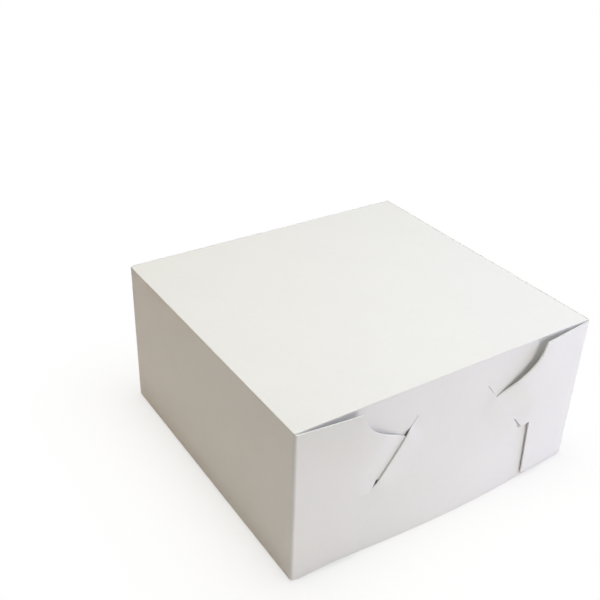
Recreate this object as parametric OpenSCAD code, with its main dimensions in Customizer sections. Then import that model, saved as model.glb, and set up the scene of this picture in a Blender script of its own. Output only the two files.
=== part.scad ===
// A one-piece folding cake box: a tray whose corners lock with hooked wings, and a lid that turns up at the back.
// The front faces -Y. The origin is on the table, under the middle of the box.

/* [Box] */
// Outside width across the front
box_w = 254; // [230:1:320]
// Outside depth at the corners, from the front wings to the back wall
box_d = 240; // [160:1:320]
// Outside height with the lid down
box_h = 124; // [116:1:170]

/* [Board] */
// Thickness of the board
board = 1; // [0.6:0.1:2]
// Inside radius of a fold
fold_inside = 1.2; // [0.3:0.1:2]
// Gap between two layers of board that lie on each other
layer_gap = 0.2; // [0.15:0.05:0.6]

/* [Front bow] */
// How far the foot of the front stands out of line
bow_depth = 6.8; // [0:0.1:8]
// Above 1 the bow is fullest right of the middle
bow_skew = 1.2; // [1:0.05:1.8]

/* [Slits in the front wall] */
// Lower end of a slit, from the side of the box
slit_foot_x = 58.5; // [54:0.5:64]
// Lower end of a slit, above the table
slit_foot_z = 51; // [40:1:54]
// Slope of a slit against the table, in degrees
slit_slope = 53; // [48:1:60]
// Length of a slit
slit_len = 62; // [58:1:66]
// Width of a slit
slit_w = 0.8; // [0.4:0.1:1.2]
// Length over which a slit closes again above its hook
slit_close = 9; // [6:1:14]

/* [Wings] */
// From the side of the box to the free edge of a wing
wing_w = 50; // [44:1:53]
// From the side of the box to the top corner of a wing
wing_top_w = 48; // [38:1:50]
// How much lower than the walls the top corner of a wing is
wing_drop = 0; // [0:0.5:5]
// Gap between a wing and the table, at the corner of the box
wing_lift = 0.8; // [0.4:0.1:2]
// How much higher the foot of a wing is at its free edge
foot_rise = 4.5; // [0:0.5:10]
// Slope of the step between a wing's free edge and its hook, in degrees
step_slope = 15; // [0:1:36]
// How far the top corner of a wing springs out
spring_top = 5; // [0:0.5:8]
// How far a wing springs out at its hook and below
spring_low = 0.8; // [0:0.1:4]
// Share of a slit that the hook of a wing takes up
hook_share = 0.74; // [0.7:0.01:0.8]
// How far a hook reaches behind the front wall
hook_reach = 12; // [6:1:16]
// Slope of the top edge of a hook, in degrees
hook_slope = 31; // [20:1:36]
// Slope of the side of the notch above a hook, in degrees
notch_slope = 72; // [66:1:80]
// Radius at the bottom of the notch
notch_r = 28; // [12:1:30]
// Width of the band that bends on either side of a slit
bend_w = 22; // [16:1:26]
// Share of the bend that the wall beside a slit takes by dipping; the panel takes the rest by bulging
dip_share = 0.32; // [0.1:0.01:0.6]

/* [Lid] */
// Height of the tuck flap
tuck_h = 24; // [16:1:25]
// Gap between each end of the tuck flap and a side wall
tuck_gap = 4; // [1:0.5:10]
// Lean of the tuck flap, in degrees
tuck_lean = 3.5; // [3.2:0.1:6]
// Radius of the tuck flap's lower corners
tuck_r = 12; // [4:1:15]

/* [Glued flaps] */
// Width of the glued flap in each back corner
glue_w = 34; // [20:1:60]
// How much lower a glued flap is than the walls
glue_drop = 3; // [1:0.5:10]

/* [Hidden] */

fold_r = board + fold_inside;
layer = board + layer_gap;
half_w = box_w / 2;
wall_top = box_h - board;
wing_top = wall_top - wing_drop;
// How far a sheet runs past the outline that trims it
slack = 1;
// How far the panels of the sheet run into each other where they meet
seam = 0.1;
function smooth(t) = let (c = min(1, max(0, t))) c * c * (3 - 2 * c);

// The bow of the front at the table, at a place across the box, and higher up
bow_span = box_w - 2 * fold_r;
function bow_foot(x) =
    let (s = min(1, max(0, (x + bow_span / 2) / bow_span)))
    bow_depth * sin(180 * pow(s, bow_skew));
function bow(x, z) = bow_foot(x) * (wall_top - min(wall_top, max(fold_r, z))) / (wall_top - fold_r);

// The slit's foot, from the side of the box, the way along the slit and the way across it to the middle
slit_foot = [slit_foot_x, slit_foot_z];
along = [cos(slit_slope), sin(slit_slope)];
away = [sin(slit_slope), -cos(slit_slope)];
slit_head = slit_foot + along * slit_len;
function slit_x(z) =
    slit_foot.x + (min(slit_head.y, max(slit_foot.y, z)) - slit_foot.y) / tan(slit_slope);
hook_len = slit_len * hook_share;
hook_top = slit_foot + along * hook_len;

// A wing is held by its hook and springs out above and below it, more and more up to its free edge
spring_from = (slit_foot.y + hook_top.y) / 2;
function spring(u, z) =
    min(1, max(0, (u - fold_r) / (wing_top_w - fold_r)))
    * (spring_low + (spring_top - spring_low) * smooth((z - spring_from) / (wall_top - spring_from)));

function wing_foot(u) = wing_lift + foot_rise * (u - fold_r) / (wing_w - fold_r);

// How far the front reaches out past its corners, which centres the box over the origin
foot_reach = max([for (i = [0:20]) let (u = fold_r + (wing_w - fold_r) * i / 20)
    spring(u, 0) + bow(half_w - u, wing_foot(u))]);
wall_reach = max([for (i = [0:40]) bow_foot(-half_w + box_w * i / 40)]) - layer;
front_reach = max(0, spring_top, foot_reach, wall_reach);
front_y = -(box_d - front_reach) / 2;
back_y = front_y + box_d;

// Beside a slit the wall dips and the panel bulges, by two layers in all, so that the hook passes between them
bend_start = hook_len / 4;
dip = 2 * layer * dip_share;
bulge = 2 * layer - dip;
function across(u, z) = ([u, z] - slit_foot) * away;
function weave(u, z) =
    let (v = ([u, z] - slit_foot) * along)
    smooth(v / bend_start) * smooth((hook_len + slit_close - v) / slit_close)
    * smooth(1 - abs(across(u, z)) / bend_w);

// Outer faces of the layers of the front, at a place across the box and a height
function front_line(x, z) = front_y - bow(x, z);
function panel_face(x, z) = front_line(x, z) + layer - bulge * weave(half_w - abs(x), z);
function wall_face(x, z) = front_line(x, z) + layer + dip * weave(half_w - abs(x), z);
function wing_face(x, z) =
    let (u = half_w - abs(x), free = spring(u, z), bend = weave(u, z))
    front_line(x, z) + (u < slit_x(z) + slit_w / 2 ? (dip + free) * bend - free : 2 * layer - bulge * bend);

// Points of the arc that rounds the corner b of the path a, b, c
function unit(v) = v / norm(v);
function rounded(a, b, c, r, steps = 6) =
    let (
        p = unit(a - b),
        q = unit(c - b),
        half = acos(p * q) / 2,
        mid = b + unit(p + q) * r / sin(half),
        start = b + p * r / tan(half) - mid,
        end = b + q * r / tan(half) - mid,
        turn = sign(start.x * end.y - start.y * end.x) * (180 - 2 * half)
    )
    [for (i = [0:steps]) let (t = turn * i / steps)
        mid + [start.x * cos(t) - start.y * sin(t), start.x * sin(t) + start.y * cos(t)]];

// Outline of a wing, from the side of the box: foot, free edge, hook, notch and top edge
step_z = slit_foot.y + (slit_foot.x - wing_w) * tan(step_slope);
hook_root = slit_foot + along * bend_start;
hook_edge = [cos(hook_slope), -sin(hook_slope)];
hook_heel = hook_root + away * hook_reach;
hook_tip = hook_top + hook_edge * hook_reach / (hook_edge * away);
top_corner = [wing_top_w, wing_top];
notch_edge = [cos(notch_slope), -sin(notch_slope)];
hook_normal = [hook_edge.y, -hook_edge.x];
notch_foot = top_corner + notch_edge * ((hook_top - top_corner) * hook_normal) / (notch_edge * hook_normal);
slit_edge = away * slit_w / 2;
wing_outline = concat(
    [[fold_r, wing_lift], [wing_w, wing_foot(wing_w)], [wing_w, step_z]],
    [slit_foot - slit_edge, hook_root - slit_edge, hook_root],
    rounded(hook_root, hook_heel, hook_tip, hook_reach / 3),
    rounded(hook_heel, hook_tip, hook_top, hook_reach / 4),
    rounded(hook_top, notch_foot, top_corner, notch_r, 10),
    [top_corner, [fold_r, wall_top]]
);

// Heights of a sheet's rows: close together beside the slit, where it bends, and wider apart elsewhere
slit_rows = 9;
bend_top = slit_head.y + bend_w * cos(slit_slope);
mid_rows = concat(
    [slit_foot.y / 2],
    [for (i = [0:slit_rows]) slit_foot.y + (slit_head.y - slit_foot.y) * i / slit_rows],
    [bend_top]
);

// Places of a sheet's columns, from the side of the box: first wide apart, then close beside the slit
flat_cols = 3;
bend_cols = 6;
bend_band = bend_w / sin(slit_slope);
function side_cols(first, z) = concat(
    [for (i = [0:flat_cols - 1]) first + (slit_x(z) - bend_band - first) * i / flat_cols],
    [for (i = [0:bend_cols]) slit_x(z) + bend_band * (i / bend_cols - 1)]
);
// The same places in the box's own frame, from left to right on either side
function placed(side, cols) =
    side < 0 ? [for (u = cols) u - half_w] : [for (i = [len(cols) - 1:-1:0]) half_w - cols[i]];

// A sheet of board between two nets of points, its front and its back, with rows from the foot up
module sheet(front, back) {
    rows = len(front) - 1;
    cols = len(front[0]) - 1;
    function f(i, j) = i * (cols + 1) + j;
    function b(i, j) = (rows + 1) * (cols + 1) + f(i, j);
    points = [for (net = [front, back]) for (row = net) each row];
    broad_faces = [for (i = [0:rows - 1]) for (j = [0:cols - 1]) each [
        [f(i, j), f(i + 1, j), f(i + 1, j + 1)],
        [f(i, j), f(i + 1, j + 1), f(i, j + 1)],
        [b(i, j), b(i + 1, j + 1), b(i + 1, j)],
        [b(i, j), b(i, j + 1), b(i + 1, j + 1)]
    ]];
    foot_and_top = [for (j = [0:cols - 1]) each [
        [f(0, j), f(0, j + 1), b(0, j + 1)],
        [f(0, j), b(0, j + 1), b(0, j)],
        [f(rows, j + 1), f(rows, j), b(rows, j)],
        [f(rows, j + 1), b(rows, j), b(rows, j + 1)]
    ]];
    ends = [for (i = [0:rows - 1]) each [
        [f(i + 1, 0), f(i, 0), b(i, 0)],
        [f(i + 1, 0), b(i, 0), b(i + 1, 0)],
        [f(i, cols), f(i + 1, cols), b(i + 1, cols)],
        [f(i, cols), b(i + 1, cols), b(i, cols)]
    ]];
    polyhedron(points, concat(broad_faces, foot_and_top, ends));
}

// A block with an outline drawn from the side of the box, which goes through the whole front
module front_block(outline, side) {
    depth = front_reach + 8 * layer;
    translate([side * half_w, front_y - front_reach - layer + depth, 0])
        rotate([90, 0, 0])
            linear_extrude(depth)
                mirror([side > 0 ? 1 : 0, 0])
                    polygon(outline);
}

// A wing: its flat part over the front wall, and its hook through the slit
module wing(side) {
    rows = concat([0], mid_rows, [wall_top + slack]);
    function cols(z) = placed(side, concat(
        [fold_r - slack],
        side_cols(fold_r, z),
        [for (i = [1, 2]) slit_x(z) + i * hook_reach]
    ));
    intersection() {
        sheet(
            [for (z = rows) [for (x = cols(z)) [x, wing_face(x, z), z]]],
            [for (z = rows) [for (x = cols(z)) [x, wing_face(x, z) + board, z]]]
        );
        front_block(wing_outline, side);
    }
}

// Rows of the front wall: how far its two faces lie behind its line, and their heights, from the base up
wall_end = fold_r + layer_gap;
fold_steps = 4;
wall_rows = concat(
    [[fold_r + seam, 0, fold_r + seam, board]],
    [for (i = [0:fold_steps]) let (a = 90 * i / fold_steps) [
        fold_r * (1 - sin(a)), fold_r * (1 - cos(a)),
        fold_r - fold_inside * sin(a), fold_r - fold_inside * cos(a)
    ]],
    [for (z = concat(mid_rows, [wall_top])) [0, z, board, z]]
);

module wall_side(side) {
    function cols(z) = placed(side, side_cols(wall_end, z));
    sheet(
        [for (r = wall_rows) [for (x = cols(r[1])) [x, wall_face(x, r[1]) + r[0], r[1]]]],
        [for (r = wall_rows) [for (x = cols(r[3])) [x, wall_face(x, r[3]) + r[2], r[3]]]]
    );
}

panel_cols = 4;
function middle_cols(z) =
    let (
        half = half_w - slit_x(z),
        band = min(bend_band, half * 0.85),
        left = [for (i = [0:bend_cols]) band * i / bend_cols - half]
    )
    concat(
        left,
        [for (i = [1:panel_cols - 1]) (half - band) * (2 * i / panel_cols - 1)],
        [for (i = [bend_cols:-1:0]) -left[i]]
    );

module wall_middle() {
    sheet(
        [for (r = wall_rows) [for (x = middle_cols(r[1])) [x, panel_face(x, r[1]) + r[0], r[1]]]],
        [for (r = wall_rows) [for (x = middle_cols(r[3])) [x, panel_face(x, r[3]) + r[2], r[3]]]]
    );
}

module front_wall() {
    slit = [slit_foot - slit_edge, slit_foot + slit_edge, slit_head + slit_edge, slit_head - slit_edge];
    difference() {
        union() {
            wall_side(-1);
            wall_middle();
            wall_side(1);
        }
        front_block(slit, -1);
        front_block(slit, 1);
    }
}

// The section of a fold: a quarter ring, left of and below its centre, that runs into the panels at its ends
module fold_section() {
    difference() {
        intersection() {
            circle(fold_r);
            translate([-fold_r, -fold_r]) square(fold_r);
        }
        circle(fold_inside);
    }
    translate([0, -fold_r]) square([seam, board]);
    translate([-fold_r, 0]) square([board, seam]);
}

// The base, with its front edge along the foot of the bowed front wall
base_w = box_w - 2 * fold_r;
foot_cols = concat(
    [-base_w / 2],
    placed(-1, side_cols(wall_end, 0)),
    middle_cols(0),
    placed(1, side_cols(wall_end, 0)),
    [base_w / 2]
);
module base() {
    front_edge = [for (x = foot_cols) [x, panel_face(x, 0) + fold_r]];
    linear_extrude(board)
        polygon(concat(front_edge, [[base_w / 2, back_y - fold_r], [-base_w / 2, back_y - fold_r]]));
}

// The left side wall, its folds to the base and to the wing, and the flap of the back wall glued inside it
side_front = front_y + fold_r;
side_back = back_y - fold_inside;
module side_wall() {
    translate([-half_w, side_front, fold_r])
        cube([board, side_back - side_front, wall_top - fold_r]);
    translate([-half_w + fold_r, side_back, fold_r])
        rotate([90, 0, 0])
            linear_extrude(side_back - side_front) fold_section();
    translate([-half_w + fold_r, side_front, wing_lift])
        linear_extrude(wall_top - wing_lift) fold_section();
    translate([-half_w + board, back_y - fold_r - glue_w, fold_r])
        cube([board, glue_w, wall_top - glue_drop - fold_r]);
    translate([-half_w + board + fold_r, back_y - fold_r, fold_r])
        mirror([0, 1, 0])
            linear_extrude(wall_top - glue_drop - fold_r) fold_section();
}

module back_wall() {
    span = box_w - 2 * (board + fold_r);
    translate([-span / 2, back_y - board, fold_r])
        cube([span, board, wall_top - fold_r]);
    translate([-span / 2, back_y - fold_r, fold_r])
        rotate([90, 0, 90])
            linear_extrude(span)
                mirror([1, 0]) fold_section();
}

module tray() {
    color([0.94, 0.93, 0.91]) {
        base();
        front_wall();
        for (side = [-1, 1]) {
            wing(side);
            mirror([side > 0 ? 1 : 0, 0, 0]) side_wall();
        }
        back_wall();
    }
}

// The lid, with its rounded front and back edges and its tuck flap behind the front wall
lid_front = front_y + layer;
tuck_w = box_w - 2 * (board + tuck_gap);
module lid_section() {
    translate([lid_front + board, wall_top])
        square([back_y - lid_front - 2 * board, board]);
    for (y = [lid_front + board, back_y - board])
        translate([y, wall_top])
            intersection() {
                circle(board);
                translate([-board, 0]) square([2 * board, board]);
            }
}

module tuck_flap() {
    low_left = [-tuck_w / 2, -tuck_h];
    low_right = [tuck_w / 2, -tuck_h];
    top_left = [-tuck_w / 2, board / 2];
    top_right = [tuck_w / 2, board / 2];
    translate([0, lid_front + board + layer_gap, wall_top])
        rotate([90 + tuck_lean, 0, 0])
            translate([0, 0, -board])
                linear_extrude(board)
                    polygon(concat(
                        [top_left],
                        rounded(top_left, low_left, low_right, tuck_r),
                        rounded(low_left, low_right, top_right, tuck_r),
                        [top_right]
                    ));
}

module lid() {
    color([0.96, 0.96, 0.95]) {
        translate([-half_w, 0, 0])
            rotate([90, 0, 90])
                linear_extrude(box_w) lid_section();
        tuck_flap();
    }
}

$fn = 48;
tray();
lid();
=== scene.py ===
# %% [markdown]
# A folding cake box, dressed for the camera
#
# The real box is one sheet of white board. It is cut flat, creased, folded up, and locked at the front
# by two hooked wings that reach through slanting slits. So this lesson works as the box maker does: it
# lays out a flat blank, cuts its outline and slits, and only then folds it. Every crease is then a true
# round bend of the same thickness of board, and the pattern of the paper runs on over the folds.
#
# The measured model comes first. It stays the master for every size, and the dressed box is fitted to it.

import math

import bpy
import numpy as np
from mathutils import Matrix, Vector


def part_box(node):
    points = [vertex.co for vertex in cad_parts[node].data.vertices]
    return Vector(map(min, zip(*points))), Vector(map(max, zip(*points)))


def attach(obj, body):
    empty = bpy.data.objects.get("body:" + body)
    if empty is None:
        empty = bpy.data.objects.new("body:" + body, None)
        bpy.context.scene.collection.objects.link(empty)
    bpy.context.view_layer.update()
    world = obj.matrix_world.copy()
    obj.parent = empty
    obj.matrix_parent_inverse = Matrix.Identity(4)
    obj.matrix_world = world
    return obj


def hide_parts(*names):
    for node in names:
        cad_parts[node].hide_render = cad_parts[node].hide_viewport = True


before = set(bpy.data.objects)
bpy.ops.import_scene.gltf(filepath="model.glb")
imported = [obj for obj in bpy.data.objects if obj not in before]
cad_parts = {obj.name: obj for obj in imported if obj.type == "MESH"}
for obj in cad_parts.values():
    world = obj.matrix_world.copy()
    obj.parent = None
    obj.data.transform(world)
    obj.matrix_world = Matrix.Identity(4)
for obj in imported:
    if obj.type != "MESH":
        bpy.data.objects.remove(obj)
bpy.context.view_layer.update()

# %% Sizes of the box
tray_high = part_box("tray")[1]
lid_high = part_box("lid")[1]

HALF_W = lid_high.x
BACK = lid_high.y
WALL_TOP = tray_high.z
BOX_TOP = lid_high.z
DEPTH = 0.240
FRONT = BACK - DEPTH
BOARD = BOX_TOP - WALL_TOP
FOLD_INSIDE = 0.0012
FOLD_R = BOARD + FOLD_INSIDE
LAYER_GAP = 0.0002
LAYER = BOARD + LAYER_GAP
print("width, depth, height:", 2 * HALF_W, DEPTH, BOX_TOP, "board:", BOARD)

# %% [markdown]
# The camera
#
# It stands where the photographer stood: to the left of the box, a good way up and quite near, so the
# upright edges lean together towards the table. The camera's place and its three angles are set
# directly, because aiming at the middle of the box would lose the slight tilt of the picture.

# %% Camera
CAMERA_PLACE = Vector((-0.3503, -0.4507, 0.4546))
CAMERA_AZIMUTH = math.radians(-33.81)
CAMERA_ELEVATION = math.radians(30.67)
CAMERA_ROLL = math.radians(1.89)
LENS_MM = 52.6

back = Vector((
    math.sin(CAMERA_AZIMUTH) * math.cos(CAMERA_ELEVATION),
    -math.cos(CAMERA_AZIMUTH) * math.cos(CAMERA_ELEVATION),
    math.sin(CAMERA_ELEVATION),
))
level_right = Vector((0, 0, 1)).cross(back).normalized()
level_up = back.cross(level_right)
right = level_right * math.cos(CAMERA_ROLL) + level_up * math.sin(CAMERA_ROLL)
up = back.cross(right)

bpy.ops.object.camera_add()
camera = bpy.context.object
camera.data.lens = LENS_MM
camera.matrix_world = Matrix((
    (right.x, up.x, back.x, CAMERA_PLACE.x),
    (right.y, up.y, back.y, CAMERA_PLACE.y),
    (right.z, up.z, back.z, CAMERA_PLACE.z),
    (0, 0, 0, 1),
))
bpy.context.scene.camera = camera
bpy.context.scene.view_settings.view_transform = "Standard"
print("camera at", tuple(CAMERA_PLACE))

# %% [markdown]
# The fold lines
#
# The blank lies on the XY plane with the outside of the board down. Its middle is the base of the box.
# The walls lie around it, a wing hangs on the front end of each side wall, and a glued flap on each end
# of the back wall. A fold uses up a strip of the blank as long as its arc, and that strip is what turns
# a height on the standing wall into a place on the flat sheet.

# %% Fold lines of the blank
ARC = FOLD_R * math.pi / 2
SIDE_FOLD = HALF_W - FOLD_R
FRONT_FOLD = FRONT + LAYER + FOLD_R
BACK_FOLD = BACK - FOLD_R
WING_FOLD = FRONT + FOLD_R
GLUE_FOLD = HALF_W - BOARD - FOLD_R
SIDE_BACK = BACK - FOLD_INSIDE


def flat_height(z):
    """How far past a fold line of the base a height on a standing wall lies, in the flat blank."""
    return ARC + z - FOLD_R


print("the unfolded blank is", 2 * (SIDE_FOLD + flat_height(WALL_TOP)), "m wide")

# %% [markdown]
# The wings and their slits
#
# A wing is a flap that turns round the front corner. Its hook slips through a slit in the front wall,
# and a curved notch above the hook lets a finger push it home. All of this is cut by one steel rule in
# one stroke, so it is drawn here as one outline, with straight edges and rounded corners. The sizes are
# measured on the standing box: across from its side, and up from the table.

# %% Sizes of slits, hooks and wings
SLIT_FOOT = Vector((0.0585, 0.051))
SLIT_SLOPE = math.radians(53)
SLIT_LENGTH = 0.062
SLIT_WIDTH = 0.0003
SLIT_HOLE_R = 0.0007
HOOK_SHARE = 0.74
HOOK_LENGTH = SLIT_LENGTH * HOOK_SHARE
HOOK_START = HOOK_LENGTH / 4
HOOK_REACH = 0.012
HOOK_SLOPE = math.radians(31)
HEEL_R = HOOK_REACH / 3
TIP_R = HOOK_REACH / 4
NOTCH_SLOPE = math.radians(72)
NOTCH_R = 0.028
NOTCH_STEPS = 16
WING_W = 0.050
WING_TOP_W = 0.048
WING_LIFT = 0.0008
FOOT_RISE = 0.0045
FOOT_CLEAR = 0.0011
STEP_SLOPE = math.radians(15)
CORNER_RELIEF = 0.004

ALONG = Vector((math.cos(SLIT_SLOPE), math.sin(SLIT_SLOPE)))
AWAY = Vector((math.sin(SLIT_SLOPE), -math.cos(SLIT_SLOPE)))
SLIT_HEAD = SLIT_FOOT + ALONG * SLIT_LENGTH
HOOK_TOP = SLIT_FOOT + ALONG * HOOK_LENGTH
print("a slit runs from", tuple(SLIT_FOOT), "to", tuple(SLIT_HEAD))


# %% Round a corner of an outline
def rounded(a, b, c, radius, steps=6):
    """Points of the arc that rounds the corner b of the path a, b, c."""
    a, b, c = Vector(a), Vector(b), Vector(c)
    p, q = (a - b).normalized(), (c - b).normalized()
    half = p.angle(q) / 2
    middle = b + (p + q).normalized() * radius / math.sin(half)
    start = b + p * radius / math.tan(half) - middle
    end = b + q * radius / math.tan(half) - middle
    turn = math.copysign(math.pi - 2 * half, start.x * end.y - start.y * end.x)
    points = []
    for i in range(steps + 1):
        t = turn * i / steps
        points.append((
            middle.x + start.x * math.cos(t) - start.y * math.sin(t),
            middle.y + start.x * math.sin(t) + start.y * math.cos(t),
        ))
    return points


print("a square corner takes", len(rounded((1, 0), (0, 0), (0, 1), 0.5)), "points")


# %% Outline of a wing
def wing_outline():
    """Foot, free edge, step, hook, notch and top corner of a wing."""
    step = SLIT_FOOT.y + (SLIT_FOOT.x - WING_W) * math.tan(STEP_SLOPE)
    hook_root = SLIT_FOOT + ALONG * HOOK_START
    hook_edge = Vector((math.cos(HOOK_SLOPE), -math.sin(HOOK_SLOPE)))
    heel = hook_root + AWAY * HOOK_REACH
    tip = HOOK_TOP + hook_edge * HOOK_REACH / hook_edge.dot(AWAY)
    top_corner = Vector((WING_TOP_W, WALL_TOP))
    notch_edge = Vector((math.cos(NOTCH_SLOPE), -math.sin(NOTCH_SLOPE)))
    normal = Vector((hook_edge.y, -hook_edge.x))
    notch_foot = top_corner + notch_edge * (HOOK_TOP - top_corner).dot(normal) / notch_edge.dot(normal)
    set_back = AWAY * FOOT_CLEAR
    points = [(FOLD_R + CORNER_RELIEF, WING_LIFT), (WING_W, WING_LIFT + FOOT_RISE), (WING_W, step)]
    points += [tuple(SLIT_FOOT - set_back), tuple(hook_root - set_back), tuple(hook_root)]
    points += rounded(hook_root, heel, tip, HEEL_R)
    points += rounded(heel, tip, HOOK_TOP, TIP_R)
    points += rounded(HOOK_TOP, notch_foot, top_corner, NOTCH_R, NOTCH_STEPS)
    points += [tuple(top_corner)]
    return points


print("the outline of a wing has", len(wing_outline()), "points")

# %% [markdown]
# The outline of the blank
#
# The box is the same on its left and on its right, so half an outline is drawn and the other half is its
# mirror image. The glued flaps in the back corners have slanted ends, as such flaps have, so that they
# slip in easily. They are drawn with the right half too.

# %% Outline of the glued flap
GLUE_W = 0.034
GLUE_LIFT = 0.001
GLUE_DROP = 0.003
GLUE_SLANT = 0.008
GLUE_CORNER_R = 0.005


def glue_outline():
    """The free edges of a glued flap, from its lower end to its upper end."""
    low = BACK_FOLD + flat_height(FOLD_R + GLUE_LIFT)
    top = BACK_FOLD + flat_height(WALL_TOP - GLUE_DROP)
    end = GLUE_FOLD + ARC + GLUE_W
    start, finish = (GLUE_FOLD, low), (GLUE_FOLD, top)
    low_corner, top_corner = (end, low + GLUE_SLANT), (end, top - GLUE_SLANT)
    points = [start]
    points += rounded(start, low_corner, top_corner, GLUE_CORNER_R)
    points += rounded(low_corner, top_corner, finish, GLUE_CORNER_R)
    points += [finish]
    return points


print("the outline of a glued flap has", len(glue_outline()), "points")


# %% Outline of the whole blank
def half_outline():
    """Right half of the blank, from the front wall's top edge round to the back wall's."""
    wall_end = HALF_W - FOLD_R - LAYER_GAP
    front_top = FRONT_FOLD - flat_height(WALL_TOP)
    back_top = BACK_FOLD + flat_height(WALL_TOP)
    side_top = SIDE_FOLD + flat_height(WALL_TOP)
    points = [(wall_end, front_top), (wall_end, FRONT_FOLD), (SIDE_FOLD, FRONT_FOLD)]
    points += [(SIDE_FOLD, WING_FOLD), (SIDE_FOLD + ARC, WING_FOLD)]
    for u, z in wing_outline():
        points.append((SIDE_FOLD + flat_height(z), WING_FOLD - ARC - (u - FOLD_R)))
    points += [(side_top, WING_FOLD - ARC), (side_top, SIDE_BACK), (SIDE_FOLD, SIDE_BACK)]
    points += [(SIDE_FOLD, BACK_FOLD), (GLUE_FOLD, BACK_FOLD)]
    points += glue_outline()
    points += [(GLUE_FOLD, back_top)]
    return points


right_half = half_outline()
blank_outline = right_half + [(-x, y) for x, y in reversed(right_half)]
print("the outline of the blank has", len(blank_outline), "points")

# %% [markdown]
# The net
#
# A flat sheet bends only where it has points. So the blank starts as a grid whose lines stand close
# together at the folds and round the slits, and wide apart where the board stays flat. An even grid
# that is fine enough for the folds would have many times as many faces.


# %% Helpers to select a piece and to move its points
def deselect_all():
    if bpy.context.mode != "OBJECT":
        bpy.ops.object.mode_set(mode="OBJECT")
    bpy.ops.object.select_all(action="DESELECT")


def make_active(piece):
    deselect_all()
    piece.select_set(True)
    bpy.context.view_layer.objects.active = piece


def points_of(piece):
    co = np.empty(len(piece.data.vertices) * 3)
    piece.data.vertices.foreach_get("co", co)
    return co.reshape(-1, 3)


def move_points(piece, co):
    piece.data.vertices.foreach_set("co", co.reshape(-1))
    piece.data.update()


# %% Columns and rows of the net
FINE = 0.0026
COARSE = 0.014
BASE_STEP = 0.004
BOW_REACH = 0.04
FOLD_STEPS = 7
MARGIN = 0.003


def spread(low, high, step):
    """Places from low to high, evenly spaced and about a step apart."""
    return list(np.linspace(low, high, max(1, round((high - low) / step)) + 1))


side_columns = (
    spread(SIDE_FOLD, SIDE_FOLD + ARC, ARC / FOLD_STEPS)[:-1]
    + spread(SIDE_FOLD + ARC, SIDE_FOLD + flat_height(WALL_TOP) + MARGIN, FINE)
)
base_columns = spread(-SIDE_FOLD, SIDE_FOLD, FINE)[1:-1]
glue_columns = [GLUE_FOLD + ARC * i / FOLD_STEPS for i in range(FOLD_STEPS + 1)]
inner_columns = [x for x in base_columns if abs(x) < GLUE_FOLD - FINE / 2]
outer_columns = sorted(set(side_columns + glue_columns))
columns = [-x for x in reversed(outer_columns)] + inner_columns + outer_columns

front_rows = [FRONT_FOLD - ARC * i / FOLD_STEPS for i in range(FOLD_STEPS + 1)]
wing_rows = [WING_FOLD - ARC * i / FOLD_STEPS for i in range(FOLD_STEPS + 1)]
fold_rows = sorted(set(front_rows + wing_rows))
low_rows = spread(FRONT_FOLD - flat_height(WALL_TOP) - MARGIN, min(fold_rows), FINE)[:-1]
bow_end = FRONT_FOLD + BOW_REACH
base_rows = spread(FRONT_FOLD, bow_end, BASE_STEP)[1:] + spread(bow_end, BACK_FOLD, COARSE)[1:-1]
back_rows = (
    [BACK_FOLD + ARC * i / FOLD_STEPS for i in range(FOLD_STEPS)]
    + spread(BACK_FOLD + ARC, BACK_FOLD + flat_height(WALL_TOP) + MARGIN, COARSE)
)
rows = low_rows + fold_rows + base_rows + back_rows
print("net of", len(columns), "by", len(rows), "lines")


# %% Lay the net
def grid_sheet(name, columns, rows):
    """A flat net of quads with its lines at the given places."""
    deselect_all()
    bpy.ops.mesh.primitive_grid_add(
        x_subdivisions=len(columns) - 1, y_subdivisions=len(rows) - 1, size=2, location=(0, 0, 0)
    )
    piece = bpy.context.object
    piece.name = name
    co = points_of(piece)
    i = np.rint((co[:, 0] + 1) / 2 * (len(columns) - 1)).astype(int)
    j = np.rint((co[:, 1] + 1) / 2 * (len(rows) - 1)).astype(int)
    co[:, 0] = np.array(columns)[i]
    co[:, 1] = np.array(rows)[j]
    move_points(piece, co)
    return piece


blank = grid_sheet("tray_sheet", columns, rows)
print("net laid:", len(blank.data.polygons), "squares")

# %% Drop the squares far outside the outline, so that the cut has less to do
WING_SPAN = 0.102

make_active(blank)
bpy.context.tool_settings.mesh_select_mode = (False, False, True)
wing_end = WING_FOLD - ARC - WING_SPAN
for polygon in blank.data.polygons:
    x, y = abs(polygon.center.x), polygon.center.y
    beside_back = x > GLUE_FOLD + ARC + GLUE_W + MARGIN and y > SIDE_BACK + COARSE
    below_wing = x > HALF_W + 2 * FINE and y < wing_end
    polygon.select = beside_back or below_wing
bpy.ops.object.mode_set(mode="EDIT")
bpy.ops.mesh.delete(type="FACE")
bpy.ops.object.mode_set(mode="OBJECT")
bpy.context.tool_settings.mesh_select_mode = (True, False, False)
print("squares left:", len(blank.data.polygons))

# %% [markdown]
# The cut
#
# The sheet is extruded to the thickness of the board, and then stamped out with a block of the blank's
# outline, as a die does. A boolean keeps the points of the net where they are, and adds new ones only
# along the cut. Each slit ends at its foot in a small round hole, which keeps the board from tearing on.


# %% Give the sheet its thickness
def extrude_up(piece, height):
    make_active(piece)
    bpy.ops.object.mode_set(mode="EDIT")
    bpy.ops.mesh.select_all(action="SELECT")
    bpy.ops.mesh.extrude_region_move(TRANSFORM_OT_translate={"value": (0, 0, height)})
    bpy.ops.mesh.select_all(action="SELECT")
    bpy.ops.mesh.normals_make_consistent(inside=False)
    bpy.ops.object.mode_set(mode="OBJECT")


extrude_up(blank, BOARD)
print("sheet of", BOARD, "m board:", len(blank.data.vertices), "points")


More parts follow.
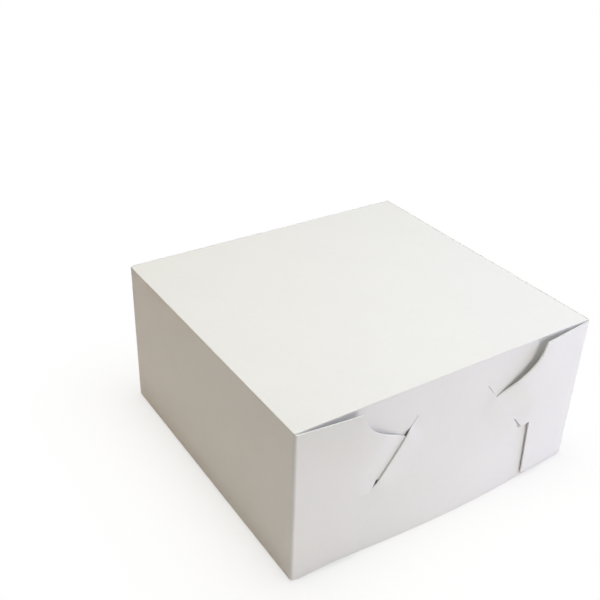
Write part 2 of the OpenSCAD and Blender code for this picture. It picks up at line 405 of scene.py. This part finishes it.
# %% Cut the outline
def cutter(name, outline, low, high):
    """A block with the given outline, to cut a sheet with. It starts as a filled circle."""
    deselect_all()
    bpy.ops.mesh.primitive_circle_add(vertices=len(outline), fill_type="NGON", radius=1)
    piece = bpy.context.object
    piece.name = name
    co = np.array([(x, y, low) for x, y in outline])
    move_points(piece, co)
    extrude_up(piece, high - low)
    return piece


def cut(piece, tool, operation):
    make_active(piece)
    modifier = piece.modifiers.new("cut", "BOOLEAN")
    modifier.operation = operation
    modifier.solver = "EXACT"
    modifier.object = tool
    bpy.ops.object.modifier_apply(modifier=modifier.name)
    bpy.data.objects.remove(tool)


CUT_LOW = -BOARD
CUT_HIGH = 2 * BOARD
cut(blank, cutter("outline", blank_outline, CUT_LOW, CUT_HIGH), "INTERSECT")
print("outline cut:", len(blank.data.vertices), "points")

# %% Cut the slits
HOLE_STEPS = 12


def slit_outline(side):
    """A slit with a round hole at its foot, on one side of the box."""
    half = SLIT_WIDTH / 2
    middle = SLIT_FOOT + ALONG * SLIT_HOLE_R
    first = math.asin(half / SLIT_HOLE_R)
    points = []
    for i in range(HOLE_STEPS + 1):
        t = first + (2 * math.pi - 2 * first) * i / HOLE_STEPS
        points.append(middle + (ALONG * math.cos(t) + AWAY * math.sin(t)) * SLIT_HOLE_R)
    points += [SLIT_HEAD - AWAY * half, SLIT_HEAD + AWAY * half]
    return [(side * (HALF_W - p.x), FRONT_FOLD - flat_height(p.y)) for p in points]


for side in (-1, 1):
    cut(blank, cutter("slit", slit_outline(side), CUT_LOW, CUT_HIGH), "DIFFERENCE")
print("slits cut:", len(blank.data.vertices), "points")

# %% [markdown]
# Notes for the material
#
# Once the box is folded, it is hard to say which face was a cut edge and which side was the inside. On
# the flat blank it is easy: a cut edge stands upright and the inside faces up. So these marks are
# written on the sheet as attributes before it is folded, together with each point's place on the blank,
# and they travel with the mesh.


# %% Write notes on a piece
def note_on_points(piece, name, values):
    attribute = piece.data.attributes.new(name, "FLOAT", "POINT")
    attribute.data.foreach_set("value", np.asarray(values, dtype=float))


def note_on_faces(piece, name, values):
    attribute = piece.data.attributes.new(name, "FLOAT", "FACE")
    attribute.data.foreach_set("value", np.asarray(values, dtype=float))


def note_places(piece, places):
    attribute = piece.data.attributes.new("blank_place", "FLOAT_VECTOR", "POINT")
    attribute.data.foreach_set("vector", np.asarray(places, dtype=float).reshape(-1))


HALF_TURNED = 0.5
flat = points_of(blank)
lift = np.array([polygon.normal.z for polygon in blank.data.polygons])
note_places(blank, flat)
note_on_faces(blank, "cut_edge", np.abs(lift) < HALF_TURNED)
note_on_faces(blank, "inner_side", lift > HALF_TURNED)
note_on_faces(blank, "free_edges", np.ones(len(lift)))
print("faces on cut edges:", int((np.abs(lift) < HALF_TURNED).sum()))

# %% Note the creases
CREASE_WIDTH = 0.0025

off_side = np.abs(np.abs(flat[:, 0]) - SIDE_FOLD - ARC / 2)
off_front = np.abs(flat[:, 1] - FRONT_FOLD + ARC / 2)
off_back = np.abs(flat[:, 1] - BACK_FOLD - ARC / 2)
nearest = np.minimum(np.minimum(off_side, off_front), off_back)
note_on_points(blank, "crease", np.clip(1 - nearest / CREASE_WIDTH, 0, 1))
print("points near a crease:", int((nearest < CREASE_WIDTH).sum()))

# %% [markdown]
# The fold
#
# A bend modifier turns a whole object about one line, and this sheet has eight folds that turn only
# their own panels. So the points are moved in code instead. Past its fold line, each point goes round an
# arc and then straight on, and a point deeper in the board takes a smaller arc. The board keeps its
# thickness all the way round, as real board does.


# %% Bend the sheet past a fold line
def fold(past, depth):
    """Where a point that lies past a fold line ends up: how far out, and how far up."""
    angle = np.clip(past / ARC, 0, 1) * math.pi / 2
    out = np.where(past < 0, past, (FOLD_R - depth) * np.sin(angle))
    rise = FOLD_R - (FOLD_R - depth) * np.cos(angle) + np.maximum(past - ARC, 0)
    return out, rise


print("outside of a whole fold, out and up:", fold(np.array([ARC]), 0))

# %% Which panel each point lies on
WING_START = SIDE_FOLD + ARC * 0.4
NEAR = 1e-6
TINY = 1e-9

X, Y, deep = flat[:, 0], flat[:, 1], flat[:, 2]
side = np.sign(X)
far = np.abs(X)

past_side = far - SIDE_FOLD
past_front = FRONT_FOLD - Y
past_back = Y - BACK_FOLD
past_wing = WING_FOLD - Y
past_glue = far - GLUE_FOLD

is_side = (past_side > NEAR) & (Y >= WING_FOLD - TINY) & (Y < SIDE_BACK + NEAR)
is_wing = (far > WING_START) & (Y < WING_FOLD)
is_front = (past_front > 0) & ~is_wing & ~is_side
is_back = (past_back > 0) & ~is_side
is_glue = is_back & (past_glue > 0)
print("points on sides, wings, front, back:", is_side.sum(), is_wing.sum(), is_front.sum(), is_back.sum())

# %% Fold up the walls, and turn in the wings and the glued flaps
x, y, z = X.copy(), Y.copy(), deep.copy()

out, rise = fold(past_side, deep)
x = np.where(is_side, side * (SIDE_FOLD + out), x)
z = np.where(is_side, rise, z)

out, rise = fold(past_wing, deep)
x = np.where(is_wing, side * (HALF_W - rise), x)
y = np.where(is_wing, WING_FOLD - out, y)
z = np.where(is_wing, FOLD_R + past_side - ARC, z)

out, rise = fold(past_front, deep)
y = np.where(is_front, FRONT_FOLD - out, y)
z = np.where(is_front, rise, z)

out, rise = fold(past_back, deep)
y = np.where(is_back, BACK_FOLD + out, y)
z = np.where(is_back, rise, z)

out, rise = fold(past_glue, deep)
x = np.where(is_glue, side * (GLUE_FOLD + out), x)
y = np.where(is_glue, BACK - rise, y)
print("folded up to", z.max(), "m")

# %% [markdown]
# Bow, spring and weave
#
# Board isn't stiff. The front of this box bows out at its foot, fullest a little right of the middle,
# and the base follows it. Each wing is held by its hook and springs out towards its free corners. At a
# slit, wing and wall change places: the wall dips on one side of the slit and bulges on the other, so
# that the hook can pass behind it. Each of these is a smooth shift along Y, added to the folded sheet.

# %% How far the front bows and the wings spring
BOW_DEPTH = 0.0068
BOW_SKEW = 1.2
SPRING_TOP = 0.005
SPRING_LOW = 0.0008


def smooth(t):
    t = np.clip(t, 0, 1)
    return t * t * (3 - 2 * t)


def bow(x, z):
    share = np.clip((x + SIDE_FOLD) / (2 * SIDE_FOLD), 0, 1)
    height = (WALL_TOP - np.clip(z, FOLD_R, WALL_TOP)) / (WALL_TOP - FOLD_R)
    return BOW_DEPTH * np.sin(math.pi * share ** BOW_SKEW) * height


def spring(x, z):
    """A wing is held by its hook, and springs out towards its free corners."""
    low = (SLIT_FOOT.y + HOOK_TOP.y) / 2
    turn = np.clip((HALF_W - np.abs(x) - FOLD_R) / (WING_TOP_W - FOLD_R), 0, 1)
    return turn * (SPRING_LOW + (SPRING_TOP - SPRING_LOW) * smooth((z - low) / (WALL_TOP - low)))


print("deepest bow:", float(bow(x, z).max()), "m")

# %% How far wall and wing bend beside a slit
SLIT_CLOSE = 0.009
BEND_W = 0.022
DIP_SHARE = 0.32
DIP = 2 * LAYER * DIP_SHARE
BULGE = 2 * LAYER - DIP


def weave(x, z):
    """How much a point shares in the bend beside a slit, and on which side of the slit it lies."""
    u = HALF_W - np.abs(x) - SLIT_FOOT.x
    h = z - SLIT_FOOT.y
    v, d = u * ALONG.x + h * ALONG.y, u * AWAY.x + h * AWAY.y
    grow = smooth(v / HOOK_START) * smooth((HOOK_LENGTH + SLIT_CLOSE - v) / SLIT_CLOSE)
    return grow * smooth(1 - np.abs(d) / BEND_W), d


print("the wall dips by", DIP, "m and bulges by", BULGE, "m")

# %% Shape the front
BESIDE_SLIT = 1e-5

fade = smooth((FRONT_FOLD + BOW_REACH - Y) / BOW_REACH)
y = y - bow(x, z) * np.where(is_side, 0, fade)

bend, d = weave(x, z)
free = spring(x, z)
slit_climb = np.clip(z, SLIT_FOOT.y, SLIT_HEAD.y) - SLIT_FOOT.y
slit_line = SLIT_FOOT.x + slit_climb / math.tan(SLIT_SLOPE)
in_front = HALF_W - np.abs(x) < slit_line + BESIDE_SLIT
wing_bend = np.where(in_front, (DIP + free) * bend - free, 2 * LAYER - BULGE * bend)
wall_bend = np.where(d < 0, DIP * bend, -BULGE * bend)
y = y + np.where(is_wing, wing_bend, 0)
y = y + np.where(is_front, wall_bend, 0)

move_points(blank, np.stack([x, y, z], axis=1))
tray = blank
print("folded:", points_of(tray).min(0), points_of(tray).max(0))

# %% Smooth the round folds, and keep the cut edges sharp
SMOOTH_ANGLE = math.radians(40)

make_active(tray)
bpy.ops.object.shade_smooth_by_angle(angle=SMOOTH_ANGLE)
print("tray:", len(tray.data.polygons), "faces")

# %% [markdown]
# The lid
#
# The lid is the same sheet, carried on past the crease at the top of the back wall. Here it is a body of
# its own, because that crease is the hinge the box opens on. It starts as a cube shaped to the panel,
# and its front and back edges are rounded with a bevel, as a folded edge is. The tuck flap is cut from
# a filled outline, leaned back a little, and joined to the panel with a boolean union.

# %% Lid panel
ROUNDING = BOARD * 0.98
ROUND_STEPS = 7
LID_FRONT = FRONT + LAYER

deselect_all()
bpy.ops.mesh.primitive_cube_add(size=1)
lid = bpy.context.object
lid.name = "lid_sheet"
co = points_of(lid)
co[:, 0] *= 2 * HALF_W
co[:, 1] = np.where(co[:, 1] < 0, LID_FRONT, BACK)
co[:, 2] = np.where(co[:, 2] < 0, WALL_TOP, BOX_TOP)
move_points(lid, co)

make_active(lid)
bpy.context.tool_settings.mesh_select_mode = (False, True, False)
for edge in lid.data.edges:
    a, b = (lid.data.vertices[i].co for i in edge.vertices)
    edge.select = abs(a.x - b.x) > HALF_W and min(a.z, b.z) > BOX_TOP - BOARD / 2
bpy.ops.object.mode_set(mode="EDIT")
bpy.ops.mesh.bevel(offset=ROUNDING, segments=ROUND_STEPS, affect="EDGES")
bpy.ops.object.mode_set(mode="OBJECT")
bpy.context.tool_settings.mesh_select_mode = (True, False, False)
print("lid panel:", len(lid.data.polygons), "faces")

# %% Tuck flap
TUCK_H = 0.024
TUCK_GAP = 0.004
TUCK_LEAN = math.radians(3.5)
TUCK_R = 0.012
TUCK_STEPS = 12

half_tuck = HALF_W - BOARD - TUCK_GAP
root_height = BOARD / 2
left_root, right_root = (-half_tuck, root_height), (half_tuck, root_height)
left_low, right_low = (-half_tuck, -TUCK_H), (half_tuck, -TUCK_H)
tuck_outline = (
    [left_root]
    + rounded(left_root, left_low, right_low, TUCK_R, TUCK_STEPS)
    + rounded(left_low, right_low, right_root, TUCK_R, TUCK_STEPS)
    + [right_root]
)
tuck = cutter("tuck_flap", tuck_outline, 0, BOARD)
co = points_of(tuck)
flap_x, flap_h, flap_d = co[:, 0], co[:, 1], co[:, 2]
co = np.stack([
    flap_x,
    LID_FRONT + LAYER + flap_d * math.cos(TUCK_LEAN) - flap_h * math.sin(TUCK_LEAN),
    WALL_TOP + flap_h * math.cos(TUCK_LEAN) + flap_d * math.sin(TUCK_LEAN),
], axis=1)
move_points(tuck, co)
make_active(tuck)
bpy.ops.object.mode_set(mode="EDIT")
bpy.ops.mesh.select_all(action="SELECT")
bpy.ops.mesh.normals_make_consistent(inside=False)
bpy.ops.object.mode_set(mode="OBJECT")
cut(lid, tuck, "UNION")
make_active(lid)
bpy.ops.object.shade_smooth_by_angle(angle=SMOOTH_ANGLE)
print("lid:", points_of(lid).min(0), points_of(lid).max(0))

# %% Write the notes on the lid
SQUARE_ON = 0.7
DOWNWARD = 0.3
TUCK_TOP = WALL_TOP - 0.0005
UNDERSIDE_LOW = WALL_TOP - 0.001
TUCK_RIM_TOP = WALL_TOP - 0.003
CREASE_SHARE = 0.9


def is_cut_edge(normal, middle):
    """Both ends of the lid, and the rim of the tuck flap."""
    end = abs(normal.x) > SQUARE_ON
    rim = normal.z < -DOWNWARD and middle.z < TUCK_RIM_TOP
    return end or rim


def is_inner_side(normal, middle):
    """The lid's underside, and the side of the tuck flap that faces into the box."""
    underside = normal.z < -SQUARE_ON and middle.z > UNDERSIDE_LOW
    tuck_back = normal.y > HALF_TURNED and middle.z < WALL_TOP
    return underside or tuck_back


co = points_of(lid)
below = co[:, 2] < TUCK_TOP
along = np.where(below, LID_FRONT - (WALL_TOP - co[:, 2]), co[:, 1])
note_places(lid, np.stack([co[:, 0], along, np.clip(BOX_TOP - co[:, 2], 0, BOARD)], axis=1))
faces = [(polygon.normal, polygon.center) for polygon in lid.data.polygons]
note_on_faces(lid, "cut_edge", [is_cut_edge(*face) for face in faces])
note_on_faces(lid, "inner_side", [is_inner_side(*face) for face in faces])
note_on_faces(lid, "free_edges", np.zeros(len(faces)))
to_crease = np.minimum(co[:, 1] - LID_FRONT, BACK - co[:, 1])
note_on_points(lid, "crease", (to_crease < BOARD * CREASE_SHARE) & ~below)
print("notes on the lid:", [attribute.name for attribute in lid.data.attributes])

# %% [markdown]
# The finish of the board
#
# The outside is a smooth white liner with a thin coat, the inside is plain uncoated paper, and a cut
# edge shows the looser core between the two. All three are white, so what tells them apart is small: how
# rough they are, how warm they are, and how the fibres lie. The notes made on the flat blank say which
# face is which, and the paper's own pattern is laid out in the places of the blank, so it bends over the
# creases as real fibres do. Each effect is a node group of its own, which other materials can use too.


# %% Helpers to build nodes
def new_group(name, inputs, outputs):
    group = bpy.data.node_groups.new(name, "ShaderNodeTree")
    for label, kind, value in inputs:
        socket = group.interface.new_socket(label, in_out="INPUT", socket_type=kind)
        if value is not None:
            socket.default_value = value
    for label, kind in outputs:
        group.interface.new_socket(label, in_out="OUTPUT", socket_type=kind)
    return group, group.nodes.new("NodeGroupInput"), group.nodes.new("NodeGroupOutput")


def fill(tree, socket, value):
    """Give a socket a link or a plain value."""
    if isinstance(value, bpy.types.NodeSocket):
        tree.links.new(value, socket)
    else:
        socket.default_value = value


def add_math(tree, operation, first, second, clamp=False):
    node = tree.nodes.new("ShaderNodeMath")
    node.operation = operation
    node.use_clamp = clamp
    fill(tree, node.inputs[0], first)
    fill(tree, node.inputs[1], second)
    return node.outputs[0]


def add_noise(tree, vector, scale, detail, roughness):
    node = tree.nodes.new("ShaderNodeTexNoise")
    node.inputs["Detail"].default_value = detail
    node.inputs["Roughness"].default_value = roughness
    fill(tree, node.inputs["Vector"], vector)
    fill(tree, node.inputs["Scale"], scale)
    return node.outputs["Fac"]


def add_mix(tree, share, first, second, kind="FLOAT"):
    node = tree.nodes.new("ShaderNodeMix")
    node.data_type = kind
    sockets = [socket for socket in node.inputs if socket.enabled]
    for socket, value in zip(sockets, (share, first, second)):
        fill(tree, socket, value)
    return [socket for socket in node.outputs if socket.enabled][0]


print("node helpers ready")

# %% Fibres: long fine threads along the grain, with a few coarser flecks between them
FLECK_SHARE = 0.22

fibres, given, result = new_group(
    "paper_fibres",
    [("Place", "NodeSocketVector", None), ("Fibres per metre", "NodeSocketFloat", 900.0),
     ("Stretch", "NodeSocketFloat", 0.3)],
    [("Threads", "NodeSocketFloat"), ("Flecks", "NodeSocketFloat")],
)
grain = fibres.nodes.new("ShaderNodeCombineXYZ")
grain.inputs["X"].default_value = 1
grain.inputs["Z"].default_value = 1
fibres.links.new(given.outputs["Stretch"], grain.inputs["Y"])
scaled = fibres.nodes.new("ShaderNodeVectorMath")
scaled.operation = "MULTIPLY"
fibres.links.new(given.outputs["Place"], scaled.inputs[0])
fibres.links.new(grain.outputs[0], scaled.inputs[1])
threads = add_noise(fibres, scaled.outputs[0], given.outputs["Fibres per metre"], detail=5, roughness=0.65)
coarse = add_math(fibres, "MULTIPLY", given.outputs["Fibres per metre"], FLECK_SHARE)
flecks = add_noise(fibres, given.outputs["Place"], coarse, detail=3, roughness=0.55)
fibres.links.new(threads, result.inputs["Threads"])
fibres.links.new(flecks, result.inputs["Flecks"])
print("group:", fibres.name)

# %% Handling: wide soft patches where hands and stacking have dulled the sheet a little
PATCH_LEVEL = 0.35
PATCH_CONTRAST = 3.0

handling, given, result = new_group(
    "handling",
    [("Place", "NodeSocketVector", None), ("Patches per metre", "NodeSocketFloat", 22.0)],
    [("Patches", "NodeSocketFloat")],
)
size_of_patches = given.outputs["Patches per metre"]
patches = add_noise(handling, given.outputs["Place"], size_of_patches, detail=2, roughness=0.5)
softened = add_math(handling, "SUBTRACT", patches, PATCH_LEVEL)
softened = add_math(handling, "MULTIPLY", softened, PATCH_CONTRAST, clamp=True)
handling.links.new(softened, result.inputs["Patches"])
print("group:", handling.name)

# %% Core: across a cut edge, 1 in the middle of the board and 0 at its two liners
CORE_HALF = 0.38
CORE_CONTRAST = 8.0

core, given, result = new_group(
    "board_core",
    [("Place", "NodeSocketVector", None), ("Thickness", "NodeSocketFloat", BOARD)],
    [("Core", "NodeSocketFloat")],
)
split = core.nodes.new("ShaderNodeSeparateXYZ")
core.links.new(given.outputs["Place"], split.inputs[0])
across = add_math(core, "DIVIDE", split.outputs["Z"], given.outputs["Thickness"])
across = add_math(core, "SUBTRACT", across, 0.5)
across = add_math(core, "ABSOLUTE", across, 0.0)
across = add_math(core, "SUBTRACT", CORE_HALF, across)
across = add_math(core, "MULTIPLY", across, CORE_CONTRAST, clamp=True)
core.links.new(across, result.inputs["Core"])
print("group:", core.name)

# %% White board: what its material reads
board = bpy.data.materials.new("white_board")
board.use_nodes = True
tree = board.node_tree
principled = tree.nodes["Principled BSDF"]


def read_note(name):
    node = tree.nodes.new("ShaderNodeAttribute")
    node.attribute_name = name
    return node


def use_group(group):
    node = tree.nodes.new("ShaderNodeGroup")
    node.node_tree = group
    tree.links.new(place, node.inputs["Place"])
    return node


place = read_note("blank_place").outputs["Vector"]
cut_mask = read_note("cut_edge").outputs["Fac"]
inner_mask = read_note("inner_side").outputs["Fac"]
crease_mask = read_note("crease").outputs["Fac"]
free_mask = read_note("free_edges").outputs["Fac"]

paper_grain = use_group(fibres)
hands = use_group(handling)
loose_core = use_group(core)
print("the material reads", len(tree.nodes) - 2, "notes and groups")

# %% White board: colour
OUTSIDE = (0.86, 0.85, 0.83, 1)
INSIDE = (0.83, 0.81, 0.78, 1)
CORE = (0.83, 0.81, 0.775, 1)
BRIGHTEST = 1.03
FLECK_SHADE = 0.03
THREAD_SHADE = 0.02
HAND_SHADE = 0.012

colour = add_mix(tree, inner_mask, OUTSIDE, INSIDE, "RGBA")
edge_colour = add_mix(tree, loose_core.outputs["Core"], OUTSIDE, CORE, "RGBA")
colour = add_mix(tree, cut_mask, colour, edge_colour, "RGBA")
shade = add_math(tree, "MULTIPLY", paper_grain.outputs["Flecks"], FLECK_SHADE)
thread_shade = add_math(tree, "MULTIPLY", paper_grain.outputs["Threads"], THREAD_SHADE)
shade = add_math(tree, "ADD", shade, thread_shade)
hand_shade = add_math(tree, "MULTIPLY", hands.outputs["Patches"], HAND_SHADE)
shade = add_math(tree, "ADD", shade, hand_shade)
shade = add_math(tree, "SUBTRACT", BRIGHTEST, shade)
grey = tree.nodes.new("ShaderNodeCombineColor")
for socket in grey.inputs[:3]:
    tree.links.new(shade, socket)
tint = tree.nodes.new("ShaderNodeMix")
tint.data_type = "RGBA"
tint.blend_type = "MULTIPLY"
tint.inputs["Factor"].default_value = 1
tree.links.new(colour, tint.inputs["A"])
tree.links.new(grey.outputs[0], tint.inputs["B"])
tree.links.new(tint.outputs["Result"], principled.inputs["Base Color"])
print("outside, inside and core:", OUTSIDE[:3], INSIDE[:3], CORE[:3])

# %% White board: how rough it is
ROUGH_OUTSIDE = 0.52
ROUGH_INSIDE = 0.78
ROUGH_EDGE = 0.9
HAND_DULLING = 0.08
CREASE_DULLING = 0.12

rough = add_mix(tree, inner_mask, ROUGH_OUTSIDE, ROUGH_INSIDE)
rough = add_mix(tree, cut_mask, rough, ROUGH_EDGE)
dulled = add_math(tree, "MULTIPLY", hands.outputs["Patches"], HAND_DULLING)
rough = add_math(tree, "ADD", rough, dulled)
dulled = add_math(tree, "MULTIPLY", crease_mask, CREASE_DULLING)
rough = add_math(tree, "ADD", rough, dulled, clamp=True)
tree.links.new(rough, principled.inputs["Roughness"])
print("roughness from", ROUGH_OUTSIDE, "to", ROUGH_EDGE)

# %% White board: fibres and soft edges
FIBRE_HEIGHT = 0.00012
FIBRES_OUTSIDE = 0.12
FIBRES_INSIDE = 0.3
FIBRES_EDGE = 0.7
FIBRES_CREASE = 0.15
EDGE_RADIUS = 0.0008
EDGE_SAMPLES = 6

height = add_math(tree, "ADD", paper_grain.outputs["Threads"], paper_grain.outputs["Flecks"])
strength = add_mix(tree, inner_mask, FIBRES_OUTSIDE, FIBRES_INSIDE)
strength = add_mix(tree, cut_mask, strength, FIBRES_EDGE)
at_crease = add_math(tree, "MULTIPLY", crease_mask, FIBRES_CREASE)
strength = add_math(tree, "ADD", strength, at_crease)
soft_edge = tree.nodes.new("ShaderNodeBevel")
soft_edge.samples = EDGE_SAMPLES
soft_edge.inputs["Radius"].default_value = EDGE_RADIUS
plain = tree.nodes.new("ShaderNodeNewGeometry")
normal = add_mix(tree, free_mask, plain.outputs["Normal"], soft_edge.outputs[0], "VECTOR")
bump = tree.nodes.new("ShaderNodeBump")
bump.inputs["Distance"].default_value = FIBRE_HEIGHT
tree.links.new(strength, bump.inputs["Strength"])
tree.links.new(height, bump.inputs["Height"])
tree.links.new(normal, bump.inputs["Normal"])
tree.links.new(bump.outputs[0], principled.inputs["Normal"])

for piece in (tray, lid):
    piece.data.materials.clear()
    piece.data.materials.append(board)
print("board material with", len(tree.nodes), "nodes")

# %% [markdown]
# The floor
#
# The photograph is taken on a white table against white, so bright that the table has no visible end.
# The floor here is white paper too. Seen by the camera it glows a little, and fully so away from the
# box, which keeps the picture white without pouring more light on the box. Close to the box the real
# shading of the paper still shows, and the paper sends a slightly warm light up to the walls.

# %% Floor sheet
FLOOR_SIZE = 8

deselect_all()
bpy.ops.mesh.primitive_plane_add(size=FLOOR_SIZE, location=(0, 0, 0))
floor = bpy.context.object
floor.name = "floor"
paper = bpy.data.materials.new("floor_paper")
paper.use_nodes = True
sheet = paper.node_tree
sheet.nodes.clear()
floor.data.materials.append(paper)
print("floor of", FLOOR_SIZE, "m")

# %% How far a place on the floor is from the box, seen from above
SHADE_REACH = 0.10
SHADE_POWER = 0.5

texture = sheet.nodes.new("ShaderNodeTexCoord")
split = sheet.nodes.new("ShaderNodeSeparateXYZ")
sheet.links.new(texture.outputs["Object"], split.inputs[0])
sides = []
for label, half in (("X", HALF_W), ("Y", DEPTH / 2)):
    beyond = add_math(sheet, "ABSOLUTE", split.outputs[label], 0.0)
    beyond = add_math(sheet, "SUBTRACT", beyond, half)
    sides.append(add_math(sheet, "MAXIMUM", beyond, 0.0))
square = add_math(sheet, "ADD", *[add_math(sheet, "POWER", value, 2.0) for value in sides])
distance = add_math(sheet, "SQRT", square, 0.0)
share = add_math(sheet, "DIVIDE", distance, SHADE_REACH, clamp=True)
share = add_math(sheet, "POWER", share, SHADE_POWER)
print("the shade fades over", SHADE_REACH, "m")

# %% Paper of the floor
FLOOR_COLOUR = (0.93, 0.905, 0.85, 1)
TOOTH_PER_METRE = 700
TOOTH_STRENGTH = 0.2
TOOTH_HEIGHT = 0.0002
GLOW_AT_BOX = 0.6
GLOW_AWAY = 1.0

tooth = add_noise(sheet, texture.outputs["Object"], TOOTH_PER_METRE, detail=4, roughness=0.6)
tooth_bump = sheet.nodes.new("ShaderNodeBump")
tooth_bump.inputs["Strength"].default_value = TOOTH_STRENGTH
tooth_bump.inputs["Distance"].default_value = TOOTH_HEIGHT
sheet.links.new(tooth, tooth_bump.inputs["Height"])

matt = sheet.nodes.new("ShaderNodeBsdfDiffuse")
matt.inputs["Color"].default_value = FLOOR_COLOUR
sheet.links.new(tooth_bump.outputs[0], matt.inputs["Normal"])
glow = sheet.nodes.new("ShaderNodeEmission")
glow.inputs["Strength"].default_value = 1.0
path = sheet.nodes.new("ShaderNodeLightPath")
glow_share = add_mix(sheet, share, GLOW_AT_BOX, GLOW_AWAY)
glow_share = add_math(sheet, "MULTIPLY", glow_share, path.outputs["Is Camera Ray"])
blend = sheet.nodes.new("ShaderNodeMixShader")
sheet.links.new(glow_share, blend.inputs["Fac"])
sheet.links.new(matt.outputs[0], blend.inputs[1])
sheet.links.new(glow.outputs[0], blend.inputs[2])
surface = sheet.nodes.new("ShaderNodeOutputMaterial")
sheet.links.new(blend.outputs[0], surface.inputs["Surface"])
print("floor material with", len(sheet.nodes), "nodes")

# %% [markdown]
# The light
#
# White on white is told apart by light alone. The room gives a little light from straight above, and a
# wide lamp above gives the lid its even white. A low bluish lamp on the right brushes along the front and
# draws the shadow in the right notch, and two more fill the front in. Little of this reaches the left
# wall: it lives on the light that comes off the table, and on a faint warm lamp behind it on the left,
# so it is the darkest side. Soft lamps a few steps away are used because small ones draw hard shadows.

# %% Light of the room
ROOM_LIGHT = 0.15
OVERHEAD_POWER = 2.0

world = bpy.data.worlds.new("studio")
bpy.context.scene.world = world
world.use_nodes = True
room = world.node_tree
room.nodes.clear()
white = room.nodes.new("ShaderNodeBackground")
path = room.nodes.new("ShaderNodeLightPath")
texture = room.nodes.new("ShaderNodeTexCoord")
split = room.nodes.new("ShaderNodeSeparateXYZ")
room.links.new(texture.outputs["Generated"], split.inputs[0])
overhead = add_math(room, "MAXIMUM", split.outputs["Z"], 0.0)
overhead = add_math(room, "POWER", overhead, OVERHEAD_POWER)
overhead = add_math(room, "MULTIPLY", overhead, ROOM_LIGHT)
level = add_mix(room, path.outputs["Is Camera Ray"], overhead, 1.0)
room.links.new(level, white.inputs["Strength"])
output = room.nodes.new("ShaderNodeOutputWorld")
room.links.new(white.outputs[0], output.inputs["Surface"])
print("the world is white to the camera, and gives", ROOM_LIGHT, "of light from straight above")


# %% Lamps
def soft_lamp(name, place, aim, size, red, green, blue):
    """A square lamp with its light given as watts of red, green and blue."""
    power = max(red, green, blue)
    deselect_all()
    bpy.ops.object.light_add(type="AREA", location=place)
    lamp = bpy.context.object
    lamp.name = name
    lamp.data.shape = "SQUARE"
    lamp.data.size = size
    lamp.data.energy = power
    lamp.data.color = (red / power, green / power, blue / power)
    way = Vector(aim) - Vector(place)
    lamp.rotation_euler = way.to_track_quat("-Z", "Y").to_euler()
    print(name, "lamp:", power, "W")


FRONT_AIM = (0.03, -0.12, 0.06)
soft_lamp("key_right", (1.00, -0.35, 0.35), FRONT_AIM, 0.5, 3.1, 3.4, 5.3)
soft_lamp("front_right", (0.40, -1.10, 0.25), FRONT_AIM, 0.6, 4.1, 3.8, 3.8)
soft_lamp("front_high", (0.1, -1.0, 1.0), (0, -0.12, 0.04), 0.6, 0.3, 0.4, 0.6)
soft_lamp("above", (0, 0, 1.6), (0, 0, 0.1), 1.2, 22.3, 23.1, 22.2)
soft_lamp("warm_left", (-0.8, 0.9, 0.6), (0, 0, 0.06), 0.6, 1.35, 0.5, 0.05)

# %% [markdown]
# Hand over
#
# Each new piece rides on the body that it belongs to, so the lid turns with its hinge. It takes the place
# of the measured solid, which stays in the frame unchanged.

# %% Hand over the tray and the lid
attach(tray, "tray")
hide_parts("tray")
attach(lid, "lid")
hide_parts("lid")
